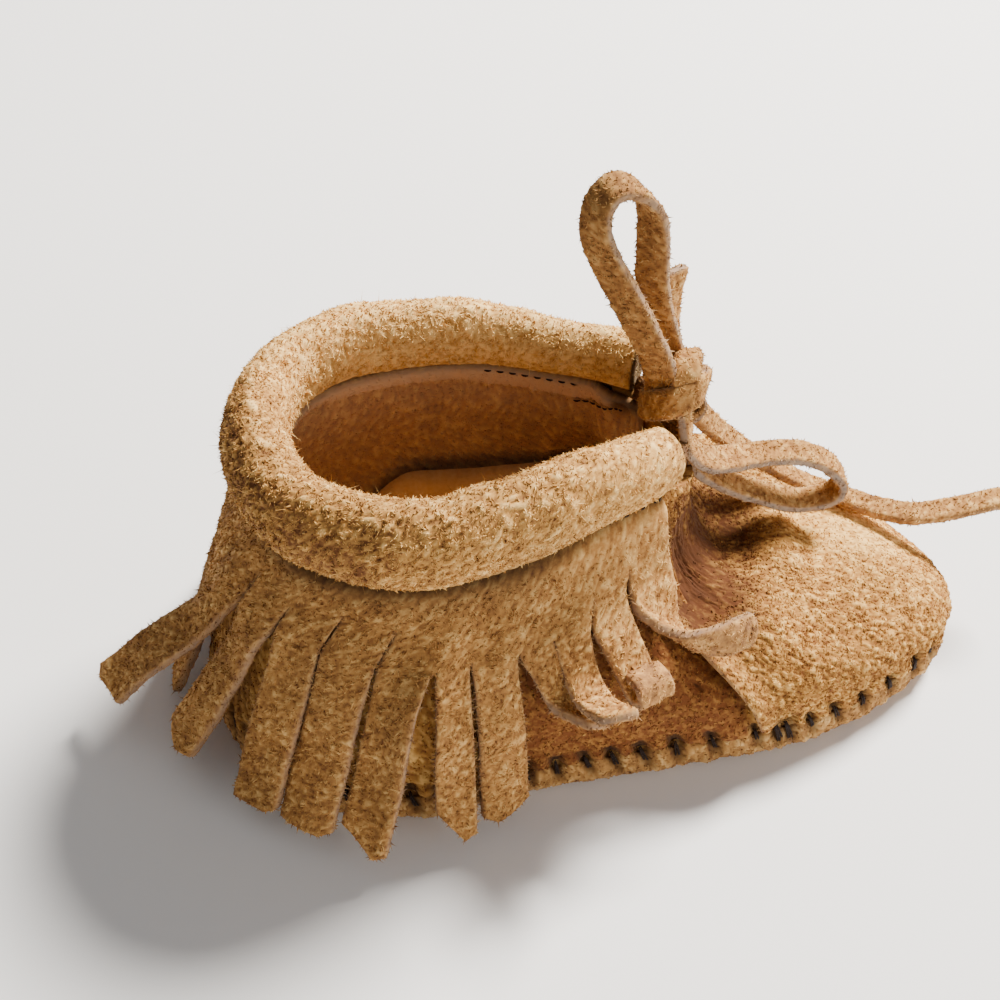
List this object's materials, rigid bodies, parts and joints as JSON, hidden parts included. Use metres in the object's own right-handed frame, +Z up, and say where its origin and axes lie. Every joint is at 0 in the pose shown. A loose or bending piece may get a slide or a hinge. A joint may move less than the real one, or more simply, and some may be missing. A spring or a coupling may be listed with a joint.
{
  "type": "fringed baby bootie",
  "caption": "Soft suede baby moccasin with a gathered vamp seam, padded rolled collar open at the front, cut fringe cuff and a tied thong lace.",
  "frame": {"origin": "centre of the plan of the bootie without its lace, on the floor plane under the sole", "axes": "+X heel to toe, +Y to the far side, +Z up; millimetre sizes in the source are shifted onto this origin at the end"},
  "size_m": [0.1514, 0.083, 0.0881],
  "materials": {
    "sole": "napped suede",
    "upper": "napped suede",
    "insole": "worn suede split",
    "collar": "napped suede over padding",
    "fringe": "napped suede, raw cut edges",
    "lace_bar": "napped suede thong, raw cut edges",
    "lace_knot": "napped suede thong, raw cut edges",
    "lace_loop_upper": "napped suede thong, raw cut edges",
    "lace_loop_lower": "napped suede thong, raw cut edges",
    "lace_end_upper": "napped suede thong, raw cut edges",
    "lace_end_long": "napped suede thong, raw cut edges"
  },
  "bodies": {
    "root": {"sole": "sole", "upper": "upper", "insole": "insole", "collar": "collar", "fringe": "fringe", "lace_bar": "lace_bar", "lace_knot": "lace_knot", "lace_loop_upper": "lace_loop_upper", "lace_loop_lower": "lace_loop_lower", "lace_end_upper": "lace_end_upper", "lace_end_long": "lace_end_long"}
  },
  "joints": []
}
